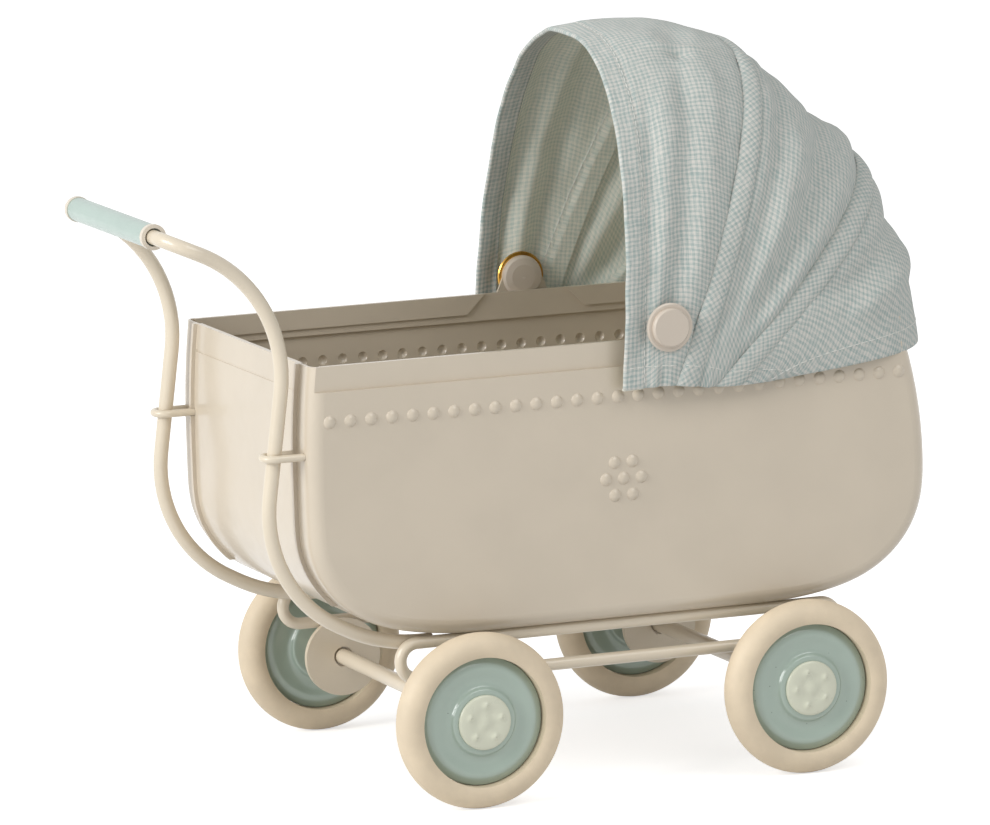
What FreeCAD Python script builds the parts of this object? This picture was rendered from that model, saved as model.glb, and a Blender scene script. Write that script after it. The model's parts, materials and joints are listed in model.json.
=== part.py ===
import FreeCAD, Part
import math
import os

# Doll pram: pressed metal tub on two wire loops, four wheels, bent-rod handle, folding fabric canopy.
# Millimetres, +Z up. The handle is at -X, the canopy at +X, left is +Y. X = 0 is midway between the axles
# while the parts are made; at the end every part moves so that the origin is the middle of the footprint.

os.makedirs("parts", exist_ok=True)
vec = FreeCAD.Vector
ALONG_Y = vec(0, 1, 0)
FAR = 200.0              # a length longer than any part, for cutting tools

# ---- main sizes ----
WHEELBASE = 70.2
WHEEL_RADIUS = 17.5
TUB_HANDLE_X = -66.7     # outermost point of the handle end
TUB_CANOPY_X = 66.1      # outermost point of the canopy end
TUB_HALF_WIDTH = 34.8    # to the proud field of a side panel
TUB_HEIGHT = 55.6
FLOOR_OVER_AXLES = 15.5  # from the axles up to the underside of the tub
TUB_BOTTOM_Z = WHEEL_RADIUS + FLOOR_OVER_AXLES
TUB_TOP_Z = TUB_BOTTOM_Z + TUB_HEIGHT

# ---- tub ----
SHEET = 0.5              # sheet metal thickness
PANEL_EDGE_RADIUS = 3.0  # rounded edge where a side panel turns inwards
SEAM_Y = TUB_HALF_WIDTH - 7.1     # the crimped seams between the side panels and the strip
SEAM_LIP = 0.8           # how far the crimped lips stand out
SEAM_LOW_Z = TUB_BOTTOM_Z + 7.0   # below this the seams are pressed flat
SEAM_GAP = 0.02
HANDLE_TOP_INSET = 1.1   # the handle end leans in this much at the rim
HANDLE_BULGE_RISE = 36.0 # height of its outermost point over the floor
HANDLE_UNDER_BULGE = [(0.1, 26.0)]    # points between there and the corner: inset and height
CANOPY_TOP_INSET = 5.4
CANOPY_BULGE_RISE = 25.5
CANOPY_UNDER_BULGE = []
UPPER_STEPS = 4          # of the curve from the outermost point to the rim
BAND_HEIGHT = 5.0        # recessed band under the rim
BAND_DEPTH = 0.7
HEM_HEIGHT = 4.0         # the rim is folded over inwards
HEM_NOTCH = 9.0          # half-length of the break in the fold at the snap tab
STRIP_HEM_HEIGHT = 5.5
CREASE_DEPTH = 0.15
CREASE_HEIGHT = 0.5

# ---- raised dots on the side panels ----
DOT_RADIUS = 1.3
DOT_HEIGHT = 0.6
DOT_PITCH = 4.36
DOT_ROW_START_X = TUB_HANDLE_X + 4.5
DOT_ROW_END_ROOM = 6.0   # at least this far from the last dot to the canopy end
DOT_ROW_COUNT = int((TUB_CANOPY_X - DOT_ROW_END_ROOM - DOT_ROW_START_X) / DOT_PITCH) + 1
DOT_ROW_Z = TUB_TOP_Z - 10.9
FLOWER_X = (TUB_HANDLE_X + TUB_CANOPY_X) / 2 + 0.1
FLOWER_Z = TUB_TOP_Z - 27.3
FLOWER_RADIUS = 3.8
FLOWER_PETALS = 6

# ---- wheels and axles ----
TUB_TO_WHEEL = 7.6       # from a side panel to the middle plane of the wheels beside it
WHEEL_Y = TUB_HALF_WIDTH + TUB_TO_WHEEL
TYRE_SECTION_RADIUS = 3.2
TYRE_BORE_RADIUS = WHEEL_RADIUS - 4.6
DISC_RIM_GAP = 0.1
DISC_SHEET = 0.6
DISC_CREST_RADIUS = TYRE_BORE_RADIUS - 1.9
DISC_CREST_HEIGHT = 1.75
DISC_VALLEY_RADIUS = DISC_CREST_RADIUS - 3.0
DISC_VALLEY_HEIGHT = 1.3
BOSS_RADIUS = 6.6
BOSS_HEIGHT = 2.3
CAP_RADIUS = BOSS_RADIUS - 1.1
CAP_HEIGHT = 1.1
CAP_DIMPLES = 5
CAP_DIMPLE_RING = CAP_RADIUS - 2.4
CAP_DIMPLE_RADIUS = 0.75
CAP_DIMPLE_DEPTH = 0.35
AXLE_RADIUS = 1.6
PRESS_GAP = 0.02         # between pieces pressed or welded together
RUNNING_GAP = 0.08       # radial, round a shaft that turns
SPACER_RADIUS = 2.6
SIDE_PLAY = 0.3          # an axle slides this much each way

# ---- hanger plates and side loops ----
PLATE_RADIUS = 8.0
PLATE_THICKNESS = 1.2
PLATE_INNER_Y = SEAM_Y + 1.2
PLATE_LAND = 0.5         # depth of the close-fitting part of its hole
PLATE_HOLE_OVERSIZE = 0.45
LOOP_WIRE_RADIUS = 1.22
LOOP_BEYOND_AXLE = 13.2  # from an axle to the outside of the loop's bend
LOOP_HALF_LENGTH = WHEELBASE / 2 + LOOP_BEYOND_AXLE
LOOP_OVER_AXLES = 7.2
LOOP_RAIL_Z = WHEEL_RADIUS + LOOP_OVER_AXLES      # middle of the lower run

# ---- handle ----
ROD_RADIUS = 1.45
GRIP_X = TUB_HANDLE_X - 25.9
GRIP_Z = TUB_TOP_Z + 26.0
GRIP_BEND_RADIUS = 6.8
LEG_Y = SEAM_Y + 2.0
GRIP_END_ROOM = 1.3      # straight rod between the grip and each bend
GRIP_HALF_LENGTH = LEG_Y - GRIP_BEND_RADIUS - GRIP_END_ROOM
SHOULDER_X = TUB_HANDLE_X - 0.9    # where the run from the grip meets the leg, before it is rounded
SHOULDER_Z = TUB_TOP_Z + 14.9
SHOULDER_RADIUS = 27.0
KNEE_X = TUB_HANDLE_X - 8.8        # where the leg meets the slope under the tub's corner
KNEE_Z = TUB_BOTTOM_Z + 11.9
KNEE_RADIUS = 26.0
TOE_X = TUB_HANDLE_X + 16.4        # where the slope meets the level foot
TOE_RADIUS = 34.0
FOOT_END_X = TUB_HANDLE_X + 27.3
SLEEVE_RADIUS = 2.38
GRIP_RING_RADIUS = 2.55
GRIP_RING_WIDTH = 1.2
GRIP_RING_OVERSIZE = 0.35
CLIP_WIRE_RADIUS = 0.75
CLIP_Z = TUB_TOP_Z - 17.8
CLIP_GAP = 0.06
CLIP_TAIL = 1.2          # length left inside the tub

# ---- snaps that carry the canopy ----
PIVOT_X = TUB_CANOPY_X - 57.8
PIVOT_Z = TUB_TOP_Z + 2.7
STUD_RADIUS = 2.0
STUD_HEAD_RADIUS = 4.2
STUD_HEAD_HEIGHT = 1.0
TAB_RADIUS = STUD_HEAD_RADIUS + 0.1
TAB_BASE_HALF = TAB_RADIUS + 2.2
TAB_INNER_Y = TUB_HALF_WIDTH + 0.1
SNAP_RING_RADIUS = TAB_RADIUS + 0.75
SNAP_RING_WIDTH = 0.75
CAP_FLANGE_RADIUS = 4.85
CAP_FLANGE_WIDTH = 0.5
CAP_DISC_RADIUS = CAP_FLANGE_RADIUS - 0.95
CAP_DISC_WIDTH = 0.9

# ---- canopy ----
CLOTH = 0.4
BOW_RADIUS = 0.45
LAYER_STEP = 0.9         # from one telescoping gore to the next
LEAD_GORE_Y = TAB_INNER_Y + 1.9       # outer half-width of the innermost gore
LEAD_GORE_REACH = 56.2   # from the pivot to its crown
ARCH_POWER = 2.8         # how square the arch is: 2 is an ellipse
HUB_RADIUS = 6.5
BOW_START = 11.0         # distance of a bow's ends from the pivot
LEAD_ANGLE = 95.0        # degrees above +X, the open edge
MIDDLE_ANGLE = 68.0
BACK_ANGLE = 44.0
BACK_GORE_LOW_ANGLE = 23.0
GORE_LAP = 1.0           # degrees by which neighbours overlap
SKIRT_TOP_ANGLE = 28.0
SKIRT_HEM_Z = TUB_TOP_Z - 8.6
SKIRT_FRONT_X = PIVOT_X - 7.7
SKIRT_BACK_X = TUB_CANOPY_X + 2.7
SKIRT_HALF_WIDTH = LEAD_GORE_Y + 2 * LAYER_STEP + 1.0
SKIRT_HUB_RADIUS = 9.0   # rounded ears of the skirt, held round the snap caps
SKIRT_LOW_POWER = 7.0
SKIRT_TOP_POWER = 3.4
SKIRT_RISES = (-12.0, 0.0, 10.0, 20.0, 30.0)     # heights of its outlines from the pivot
SKIRT_STRAIGHT_RISE = 5.0                        # up to here its back hangs at SKIRT_BACK_X
CAP_CLEARANCE = 0.3      # from the outermost gore to a snap cap
ARCH_STEPS = 16
OUTLINE_STEPS = 14


def box(x0, x1, y0, y1, z0, z1):
    return Part.makeBox(x1 - x0, y1 - y0, z1 - z0, vec(x0, y0, z0))


def rod_y(radius, x, z, y0, y1):
    return Part.makeCylinder(radius, y1 - y0, vec(x, y0, z), ALONG_Y)


def mirrored(shape):
    return shape.mirror(vec(0, 0, 0), ALONG_Y)


def spline(points, start, end):
    curve = Part.BSplineCurve()
    curve.interpolate(Points=points, InitialTangent=start, FinalTangent=end)
    return curve.toShape()


def swept_wire(edges, radius):
    """A round wire along a chain of tangent edges."""
    start = edges[0].valueAt(edges[0].FirstParameter)
    heading = edges[0].tangentAt(edges[0].FirstParameter)
    circle = Part.Wire(Part.makeCircle(radius, start, heading))
    return Part.Wire(edges).makePipe(Part.Face(circle))


def rounded_path(corners, radii):
    """Straight runs through the corners, each inner corner rounded by a tangent arc of its own radius."""
    edges = []
    run_start = corners[0]
    for before, corner, after, radius in zip(corners, corners[1:], corners[2:], radii):
        back = (before - corner).normalize()
        on = (after - corner).normalize()
        half_turn = (math.pi - back.getAngle(on)) / 2
        tangent = radius * math.tan(half_turn)
        bisector = (back + on).normalize()
        middle = corner + bisector * (radius / math.cos(half_turn) - radius)
        arc_start = corner + back * tangent
        arc_end = corner + on * tangent
        edges.append(Part.makeLine(run_start, arc_start))
        edges.append(Part.Arc(arc_start, middle, arc_end).toShape())
        run_start = arc_end
    edges.append(Part.makeLine(run_start, corners[-1]))
    return edges


def revolved(points, x, z):
    """A solid turned about the Y line through x, z from (radius, y) pairs."""
    corners = [vec(x + r, y, z) for r, y in points]
    face = Part.Face(Part.makePolygon(corners + [corners[0]]))
    return face.revolve(vec(x, 0, z), ALONG_Y, 360)


# ---------------------------------------------------------------- tub

# The lower corner of a tub end: distance in from the outermost point, and height over the floor.
CORNER = [(0.8, 18.0), (3.2, 12.4), (7.2, 7.7), (13.0, 3.9), (20.0, 1.6), (28.0, 0.35), (36.0, 0.0)]


def end_points(end_x, inward, bulge_rise, top_inset, under_bulge, offset):
    """One end of the outline from rim to floor, moved outwards by offset."""
    rise = TUB_HEIGHT - bulge_rise
    parts = [step / UPPER_STEPS for step in range(UPPER_STEPS, -1, -1)]
    profile = [(top_inset * part ** 2, bulge_rise + rise * part) for part in parts]
    profile = profile + under_bulge + CORNER
    points = []
    for index, (inset, height) in enumerate(profile):
        before = profile[max(index - 1, 0)]
        after = profile[min(index + 1, len(profile) - 1)]
        run_in = after[0] - before[0]
        run_down = before[1] - after[1]
        length = math.hypot(run_in, run_down)
        out = run_down / length * offset
        down = run_in / length * offset
        if index == len(profile) - 1:
            out = 0.0
            down = offset
        points.append(vec(end_x + inward * (inset - out), 0, TUB_BOTTOM_Z + height - down))
    return points


def tub_block(offset, y0, y1, top_z):
    """A solid with the tub outline, moved out by offset, between two Y planes."""
    handle_end = end_points(TUB_HANDLE_X, 1, HANDLE_BULGE_RISE, HANDLE_TOP_INSET, HANDLE_UNDER_BULGE, offset)
    canopy_end = end_points(TUB_CANOPY_X, -1, CANOPY_BULGE_RISE, CANOPY_TOP_INSET, CANOPY_UNDER_BULGE, offset)
    canopy_end.reverse()
    first = handle_end[0]
    last = canopy_end[-1]
    level = vec(1, 0, 0)
    edges = [spline(handle_end, handle_end[1] - first, level),
             Part.makeLine(handle_end[-1], canopy_end[0]),
             spline(canopy_end, level, last - canopy_end[-2])]
    lid = Part.makePolygon([last, vec(last.x, 0, top_z), vec(first.x, 0, top_z), first])
    face = Part.Face(Part.Wire(edges + lid.Edges))
    face.translate(vec(0, y0, 0))
    return face.extrude(vec(0, y1 - y0, 0))


def rounded_tub_block(offset, y1, radius):
    """The same block from the middle plane to y1, its lower rim at y1 rounded, cut level at the rim."""
    block = tub_block(offset, 0, y1, TUB_TOP_Z + 2 * radius)
    rim = []
    for edge in block.Edges:
        ends = edge.BoundBox
        on_side = ends.YMin > y1 - 0.01
        below_lid = ends.ZMax < TUB_TOP_Z + 1.5 * radius
        if on_side and (below_lid or ends.XLength > 0.5 and ends.ZMin < TUB_TOP_Z):
            rim.append(edge)
    return block.makeFillet(radius, rim)


def dots(inset):
    """Spheres, smaller by inset, whose caps stand out of the proud field at every dot of a side panel."""
    places = [(DOT_ROW_START_X + DOT_PITCH * step, DOT_ROW_Z) for step in range(DOT_ROW_COUNT)]
    places.append((FLOWER_X, FLOWER_Z))
    for petal in range(FLOWER_PETALS):
        turn = math.radians(360.0 / FLOWER_PETALS * petal)
        places.append((FLOWER_X + FLOWER_RADIUS * math.cos(turn), FLOWER_Z + FLOWER_RADIUS * math.sin(turn)))
    ball = (DOT_RADIUS ** 2 + DOT_HEIGHT ** 2) / (2 * DOT_HEIGHT)
    centre_y = TUB_HALF_WIDTH + DOT_HEIGHT - ball
    return [Part.makeSphere(ball - inset, vec(x, centre_y, z)) for x, z in places]


def snap_tab():
    """The ear that stands up from the rim and carries a snap, with the joggle that sets it outwards."""
    outer_y = TAB_INNER_Y + SHEET
    root_z = TUB_TOP_Z - BAND_HEIGHT / 2
    web = Part.makePolygon([vec(PIVOT_X - TAB_BASE_HALF, TAB_INNER_Y, root_z),
                            vec(PIVOT_X + TAB_BASE_HALF, TAB_INNER_Y, root_z),
                            vec(PIVOT_X + TAB_RADIUS, TAB_INNER_Y, PIVOT_Z),
                            vec(PIVOT_X - TAB_RADIUS, TAB_INNER_Y, PIVOT_Z),
                            vec(PIVOT_X - TAB_BASE_HALF, TAB_INNER_Y, root_z)])
    ear = Part.Face(web).extrude(vec(0, SHEET, 0))
    ear = ear.fuse(rod_y(TAB_RADIUS, PIVOT_X, PIVOT_Z, TAB_INNER_Y, outer_y))
    joggle = box(PIVOT_X - TAB_BASE_HALF, PIVOT_X + TAB_BASE_HALF,
                 TUB_HALF_WIDTH - BAND_DEPTH - SHEET / 2, outer_y, root_z - SHEET, root_z + SHEET)
    return ear.fuse(joggle).cut(rod_y(STUD_RADIUS + PRESS_GAP, PIVOT_X, PIVOT_Z, 0, FAR))


def hem_fold():
    """The rim's fold against the inner face, broken at the snap tab with slanting ends."""
    inner_y = TUB_HALF_WIDTH - BAND_DEPTH - 2 * SHEET
    low_z = TUB_TOP_Z - HEM_HEIGHT
    pieces = []
    for end_x, side in ((TUB_HANDLE_X + PANEL_EDGE_RADIUS, -1), (TUB_CANOPY_X - 3 * PANEL_EDGE_RADIUS, 1)):
        corners = [vec(end_x, inner_y, low_z), vec(end_x, inner_y, TUB_TOP_Z),
                   vec(PIVOT_X + side * HEM_NOTCH, inner_y, TUB_TOP_Z),
                   vec(PIVOT_X + side * (HEM_NOTCH + HEM_HEIGHT), inner_y, low_z)]
        face = Part.Face(Part.makePolygon(corners + [corners[0]]))
        pieces.append(face.extrude(vec(0, SHEET + PRESS_GAP, 0)))
    return pieces


def seam_lip(y0, y1):
    """The lips of the seams: a band standing SEAM_LIP proud along both ends."""
    band = tub_block(SEAM_LIP, y0, y1, TUB_TOP_Z + 1).cut(tub_block(-SHEET, y0 - 1, y1 + 1, TUB_TOP_Z + 2))
    band = band.cut(box(-FAR, FAR, y0 - 1, y1 + 1, 0, SEAM_LOW_Z))
    return band.cut(box(-FAR, FAR, y0 - 1, y1 + 1, TUB_TOP_Z, FAR))


def side_panel():
    shell = rounded_tub_block(0, TUB_HALF_WIDTH, PANEL_EDGE_RADIUS)
    band_z = TUB_TOP_Z - BAND_HEIGHT
    shell = shell.cut(box(-FAR, FAR, TUB_HALF_WIDTH - BAND_DEPTH, FAR, band_z, FAR))
    shell = shell.cut(box(-FAR, FAR, -1, SEAM_Y, 0, FAR)).cut(box(-FAR, FAR, 0, FAR, TUB_TOP_Z, FAR))
    shell = shell.fuse(dots(0))
    hollow = rounded_tub_block(-SHEET, TUB_HALF_WIDTH - SHEET, PANEL_EDGE_RADIUS - SHEET)
    behind_band = box(-FAR, FAR, TUB_HALF_WIDTH - BAND_DEPTH - SHEET, FAR, band_z - SHEET, FAR)
    shell = shell.cut(hollow.cut(behind_band))
    shell = shell.cut(Part.makeCompound(dots(SHEET)))
    shell = shell.fuse(seam_lip(SEAM_Y, SEAM_Y + SHEET))
    shell = shell.fuse(hem_fold())
    shell = shell.fuse(snap_tab())
    return shell.cut(frame_clip(CLIP_GAP)).removeSplitter()


def tub_wrap():
    """The strip that makes both ends and the floor."""
    half = SEAM_Y - SEAM_GAP
    strip = tub_block(0, -half, half, TUB_TOP_Z + 1).cut(tub_block(-SHEET, -FAR, FAR, TUB_TOP_Z + 2))
    hem = tub_block(-SHEET / 2, -half + SHEET, half - SHEET, TUB_TOP_Z + 1)
    hem = hem.cut(tub_block(-2 * SHEET, -FAR, FAR, TUB_TOP_Z + 2))
    hem = hem.cut(box(-FAR, FAR, -FAR, FAR, 0, TUB_TOP_Z - STRIP_HEM_HEIGHT))
    strip = strip.fuse(hem)
    crease = tub_block(1, -half + 1, half - 1, TUB_TOP_Z + 1)
    crease = crease.cut(tub_block(-CREASE_DEPTH, -FAR, FAR, TUB_TOP_Z + 2))
    crease_z = TUB_TOP_Z - STRIP_HEM_HEIGHT
    strip = strip.cut(crease.common(box(-FAR, FAR, -FAR, FAR, crease_z, crease_z + CREASE_HEIGHT)))
    strip = strip.cut(box(-FAR, FAR, -FAR, FAR, TUB_TOP_Z, FAR))
    for lip in (seam_lip(half - SHEET, half), seam_lip(-half, -half + SHEET)):
        strip = strip.fuse(lip)
    clip = frame_clip(CLIP_GAP)
    return strip.cut(clip).cut(mirrored(clip)).removeSplitter()


# ---------------------------------------------------------------- handle and undercarriage

def handle_frame():
    """One rod: left foot, leg, crossbar through the grip, right leg and foot."""
    foot_y = loop_y() - LOOP_WIRE_RADIUS - ROD_RADIUS - PRESS_GAP
    foot_z = TUB_BOTTOM_Z - ROD_RADIUS - PRESS_GAP
    left = [vec(FOOT_END_X, foot_y, foot_z), vec(TOE_X, foot_y, foot_z), vec(KNEE_X, LEG_Y, KNEE_Z),
            vec(SHOULDER_X, LEG_Y, SHOULDER_Z), vec(GRIP_X, LEG_Y, GRIP_Z)]
    right = [vec(point.x, -point.y, point.z) for point in reversed(left)]
    bends = [TOE_RADIUS, KNEE_RADIUS, SHOULDER_RADIUS, GRIP_BEND_RADIUS]
    return swept_wire(rounded_path(left + right, bends + bends[::-1]), ROD_RADIUS)


def frame_clip(extra=0.0):
    """A wire staple round one leg with both tails through the handle-end wall."""
    radius = CLIP_WIRE_RADIUS + extra
    half = ROD_RADIUS + CLIP_WIRE_RADIUS + CLIP_GAP
    share = (CLIP_Z - KNEE_Z) / (SHOULDER_Z - KNEE_Z)
    leg_x = KNEE_X + (SHOULDER_X - KNEE_X) * share
    tail_x = TUB_HANDLE_X + SHEET + CLIP_TAIL
    lower = vec(tail_x, LEG_Y - half, CLIP_Z)
    lower_turn = vec(leg_x, LEG_Y - half, CLIP_Z)
    tip = vec(leg_x - half, LEG_Y, CLIP_Z)
    upper_turn = vec(leg_x, LEG_Y + half, CLIP_Z)
    upper = vec(tail_x, LEG_Y + half, CLIP_Z)
    edges = [Part.makeLine(lower, lower_turn), Part.Arc(lower_turn, tip, upper_turn).toShape(),
             Part.makeLine(upper_turn, upper)]
    return swept_wire(edges, radius)


def side_loop():
    """A closed wire loop: upper run under the tub, lower run over the axles, a half-round bend each end."""
    y = loop_y()
    top_z = TUB_BOTTOM_Z - LOOP_WIRE_RADIUS - PRESS_GAP
    bend = (top_z - LOOP_RAIL_Z) / 2
    mid_z = (top_z + LOOP_RAIL_Z) / 2
    end = LOOP_HALF_LENGTH - LOOP_WIRE_RADIUS - bend
    edges = [Part.makeLine(vec(-end, y, top_z), vec(end, y, top_z)),
             Part.Arc(vec(end, y, top_z), vec(end + bend, y, mid_z), vec(end, y, LOOP_RAIL_Z)).toShape(),
             Part.makeLine(vec(end, y, LOOP_RAIL_Z), vec(-end, y, LOOP_RAIL_Z)),
             Part.Arc(vec(-end, y, LOOP_RAIL_Z), vec(-end - bend, y, mid_z), vec(-end, y, top_z)).toShape()]
    return swept_wire(edges, LOOP_WIRE_RADIUS)


def loop_y():
    return PLATE_INNER_Y + PLATE_THICKNESS + PRESS_GAP + LOOP_WIRE_RADIUS


def hanger_plate(x):
    outer_y = PLATE_INNER_Y + PLATE_THICKNESS
    plate = rod_y(PLATE_RADIUS, x, WHEEL_RADIUS, PLATE_INNER_Y, outer_y)
    plate = plate.cut(rod_y(AXLE_RADIUS + RUNNING_GAP, x, WHEEL_RADIUS, 0, FAR))
    return plate.cut(rod_y(AXLE_RADIUS + PLATE_HOLE_OVERSIZE, x, WHEEL_RADIUS, 0, outer_y - PLATE_LAND))


# ---------------------------------------------------------------- wheels, for the left side at x

def tyre(x):
    reach = math.sqrt(TYRE_SECTION_RADIUS ** 2 - (WHEEL_RADIUS - TYRE_SECTION_RADIUS - TYRE_BORE_RADIUS) ** 2)
    ring = Part.makeTorus(WHEEL_RADIUS - TYRE_SECTION_RADIUS, TYRE_SECTION_RADIUS,
                          vec(x, WHEEL_Y, WHEEL_RADIUS), ALONG_Y)
    return ring.cut(rod_y(TYRE_BORE_RADIUS, x, WHEEL_RADIUS, WHEEL_Y - reach - 1, WHEEL_Y + reach + 1))


def disc_skin(lift):
    """Half section of a wheel disc's face, rim to hub: radius and distance from the wheel's middle."""
    rim = TYRE_BORE_RADIUS - DISC_RIM_GAP
    return [(rim, DISC_SHEET + lift), (rim - 0.7, DISC_SHEET + 0.25 + lift),
            (DISC_CREST_RADIUS + 0.5, DISC_CREST_HEIGHT - 0.1 + lift),
            (DISC_CREST_RADIUS, DISC_CREST_HEIGHT + lift),
            (DISC_CREST_RADIUS - 0.6, DISC_CREST_HEIGHT - 0.03 + lift),
            (DISC_VALLEY_RADIUS, DISC_VALLEY_HEIGHT + lift),
            (BOSS_RADIUS + 0.7, DISC_VALLEY_HEIGHT + 0.1 + lift),
            (BOSS_RADIUS, BOSS_HEIGHT - 0.25 + lift),
            (BOSS_RADIUS - 0.4, BOSS_HEIGHT + lift),
            (AXLE_RADIUS + PRESS_GAP, BOSS_HEIGHT + lift)]


def disc(x, side):
    """A pressed wheel disc, on the outer (1) or inner (-1) face of the left wheel at x."""
    face = disc_skin(0)
    back = [(r, max(y - DISC_SHEET, PRESS_GAP)) for r, y in reversed(face)]
    section = [(r, WHEEL_Y + side * y) for r, y in face + back]
    return revolved(section, x, WHEEL_RADIUS)


def hub_cap(x):
    base = WHEEL_Y + BOSS_HEIGHT + PRESS_GAP
    top = base + CAP_HEIGHT
    edge = CAP_HEIGHT / 2
    section = [(0, base), (CAP_RADIUS, base), (CAP_RADIUS, base + edge * 0.6), (CAP_RADIUS - 0.25, base + edge),
               (CAP_RADIUS - 1.2, top - 0.25), (CAP_RADIUS / 3, top - 0.1), (0, top)]
    cap = revolved(section, x, WHEEL_RADIUS)
    for dimple in range(CAP_DIMPLES):
        turn = math.radians(360.0 / CAP_DIMPLES * dimple + 90)
        centre = vec(x + CAP_DIMPLE_RING * math.cos(turn), top - CAP_DIMPLE_DEPTH + CAP_DIMPLE_RADIUS - 0.15,
                     WHEEL_RADIUS + CAP_DIMPLE_RING * math.sin(turn))
        cap = cap.cut(Part.makeSphere(CAP_DIMPLE_RADIUS, centre))
    return cap


def axle(x):
    reach = WHEEL_Y + BOSS_HEIGHT - PRESS_GAP
    return rod_y(AXLE_RADIUS, x, WHEEL_RADIUS, -reach, reach)


def spacer(x):
    start = PLATE_INNER_Y + PLATE_THICKNESS + SIDE_PLAY
    end = WHEEL_Y - BOSS_HEIGHT - PRESS_GAP
    tube = rod_y(SPACER_RADIUS, x, WHEEL_RADIUS, start, end)
    return tube.cut(rod_y(AXLE_RADIUS + PRESS_GAP, x, WHEEL_RADIUS, 0, FAR))


# ---------------------------------------------------------------- grip and snaps

def grip_sleeve():
    half = GRIP_HALF_LENGTH - GRIP_RING_WIDTH - PRESS_GAP
    tube = rod_y(SLEEVE_RADIUS, GRIP_X, GRIP_Z, -half, half)
    return tube.cut(rod_y(ROD_RADIUS + RUNNING_GAP, GRIP_X, GRIP_Z, -FAR, FAR))


def grip_ring():
    start = GRIP_HALF_LENGTH - GRIP_RING_WIDTH
    ring = rod_y(GRIP_RING_RADIUS, GRIP_X, GRIP_Z, start, GRIP_HALF_LENGTH)
    return ring.cut(rod_y(ROD_RADIUS + GRIP_RING_OVERSIZE, GRIP_X, GRIP_Z, 0, FAR))


def snap_stud():
    """Domed head inside the tab and a shank out through the ring and the canopy to the cap."""
    face_y = TAB_INNER_Y - PRESS_GAP
    section = [(0, face_y - STUD_HEAD_HEIGHT), (STUD_HEAD_RADIUS * 0.6, face_y - STUD_HEAD_HEIGHT * 0.9),
               (STUD_HEAD_RADIUS * 0.9, face_y - STUD_HEAD_HEIGHT * 0.6), (STUD_HEAD_RADIUS, face_y - 0.3),
               (STUD_HEAD_RADIUS, face_y), (STUD_RADIUS, face_y), (STUD_RADIUS, cap_y() - PRESS_GAP),
               (0, cap_y() - PRESS_GAP)]
    return revolved(section, PIVOT_X, PIVOT_Z)


def cap_y():
    """Inner face of a snap cap: a running gap outside the outermost gore."""
    return LEAD_GORE_Y + 2 * LAYER_STEP + CAP_CLEARANCE


def snap_ring():
    start = TAB_INNER_Y + SHEET + PRESS_GAP
    hole = STUD_RADIUS + PRESS_GAP
    end = start + SNAP_RING_WIDTH
    section = [(hole, start), (SNAP_RING_RADIUS - 0.2, start), (SNAP_RING_RADIUS, start + 0.3),
               (SNAP_RING_RADIUS - 0.3, end), (hole + 1.0, end), (hole, end - 0.3)]
    return revolved(section, PIVOT_X, PIVOT_Z)


def snap_cap():
    start = cap_y()
    step = start + CAP_FLANGE_WIDTH
    end = step + CAP_DISC_WIDTH
    section = [(0, start), (CAP_FLANGE_RADIUS, start), (CAP_FLANGE_RADIUS, start + 0.3),
               (CAP_FLANGE_RADIUS - 0.3, step), (CAP_DISC_RADIUS, step), (CAP_DISC_RADIUS, end - 0.35),
               (CAP_DISC_RADIUS - 0.35, end), (0, end)]
    return revolved(section, PIVOT_X, PIVOT_Z)


# ---------------------------------------------------------------- canopy

def arch(half_width, reach, power, start):
    """Points of a canopy section from one side over the crown to the other: y, distance from the pivot."""
    points = []
    for step in range(ARCH_STEPS + 1):
        turn = math.pi / 2 * (step / ARCH_STEPS)
        r = reach * math.sin(turn) ** (2 / power)
        y = half_width * math.cos(turn) ** (2 / power)
        if r > start + 0.5:
            points.append((y, r))
    edge_y = half_width * (1 - (start / reach) ** power) ** (1 / power)
    half = [(edge_y, start)] + points
    return half + [(-y, r) for y, r in reversed(half[:-1])]


def arch_edge(half_width, reach, start, angle):
    """The arch as one curve in the plane through the pivot axis at an angle above +X."""
    turn = math.radians(angle)
    points = [vec(PIVOT_X + r * math.cos(turn), y, PIVOT_Z + r * math.sin(turn))
              for y, r in arch(half_width, reach, ARCH_POWER, start)]
    out = vec(math.cos(turn), 0, math.sin(turn))
    return spline(points, out, out * -1)


def gore_width(layer):
    return LEAD_GORE_Y + LAYER_STEP * layer


def gore_reach(layer):
    return LEAD_GORE_REACH + LAYER_STEP * layer


def gore(layer, low_angle, high_angle):
    """A slice of canopy about the pivot axis with a hub disc each side, cut to seat its bow."""
    start = STUD_RADIUS + RUNNING_GAP
    outer = arch_edge(gore_width(layer), gore_reach(layer), start, low_angle)
    inner = arch_edge(gore_width(layer) - CLOTH, gore_reach(layer) - CLOTH, start, low_angle)
    ends = [(outer.Vertexes[0].Point, inner.Vertexes[0].Point),
            (outer.Vertexes[-1].Point, inner.Vertexes[-1].Point)]
    links = [Part.makeLine(a, b) for a, b in ends]
    face = Part.Face(Part.Wire([outer, links[1], inner, links[0]]))
    slice_ = face.revolve(vec(PIVOT_X, 0, PIVOT_Z), ALONG_Y, low_angle - high_angle)
    outer_y = gore_width(layer)
    hub = rod_y(HUB_RADIUS, PIVOT_X, PIVOT_Z, outer_y - CLOTH, outer_y)
    hub = hub.cut(rod_y(start, PIVOT_X, PIVOT_Z, 0, FAR))
    return slice_.fuse([hub, mirrored(hub)])


def bow(layer, angle):
    half_width = gore_width(layer) - CLOTH / 2
    reach = gore_reach(layer) - CLOTH / 2
    return swept_wire([arch_edge(half_width, reach, BOW_START, angle)], BOW_RADIUS)


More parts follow.
